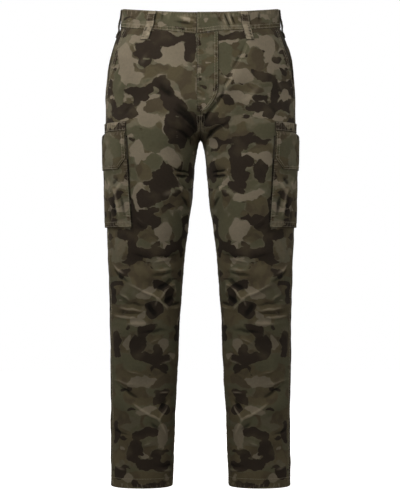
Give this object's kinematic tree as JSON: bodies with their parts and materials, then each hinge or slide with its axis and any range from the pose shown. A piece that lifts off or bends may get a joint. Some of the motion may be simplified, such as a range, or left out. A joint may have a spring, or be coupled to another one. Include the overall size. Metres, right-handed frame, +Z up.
{
  "type": "cargo pants",
  "caption": "Straight slim cargo trousers as worn and empty: waistband with overlap tab and belt loops, fly placket, slash pockets, flapped thigh pockets, open hems.",
  "frame": {"origin": "the centre of the waist, where the wearer's waist holds the garment, level with the waistband's top edge at the side seams", "axes": "+X to the wearer's left, +Y to the back, +Z up"},
  "size_m": [0.4312, 0.234, 1.051],
  "materials": {
    "camo_twill": "washed cotton twill in a camouflage print of tan, grey-tan, olive, brown and dark brown",
    "pocket_twill": "the same camouflage twill, with paler rubbed edges",
    "loop_twill": "the same camouflage twill folded and stitched, rubbed pale"
  },
  "bodies": {
    "root": {"back_left": "camo_twill", "back_right": "camo_twill", "belt_loop_back": "loop_twill", "belt_loop_front_left": "loop_twill", "belt_loop_front_right": "loop_twill", "belt_loop_side_left": "loop_twill", "belt_loop_side_right": "loop_twill", "cargo_flap_band_left": "pocket_twill", "cargo_flap_band_right": "pocket_twill", "cargo_flap_left": "pocket_twill", "cargo_flap_right": "pocket_twill", "cargo_gusset_left": "pocket_twill", "cargo_gusset_right": "pocket_twill", "cargo_pocket_left": "pocket_twill", "cargo_pocket_right": "pocket_twill", "fly_placket": "camo_twill", "front_left": "camo_twill", "front_right": "camo_twill", "pocket_facing_left": "camo_twill", "pocket_facing_right": "camo_twill", "waistband_left": "camo_twill", "waistband_right": "camo_twill"}
  },
  "joints": []
}
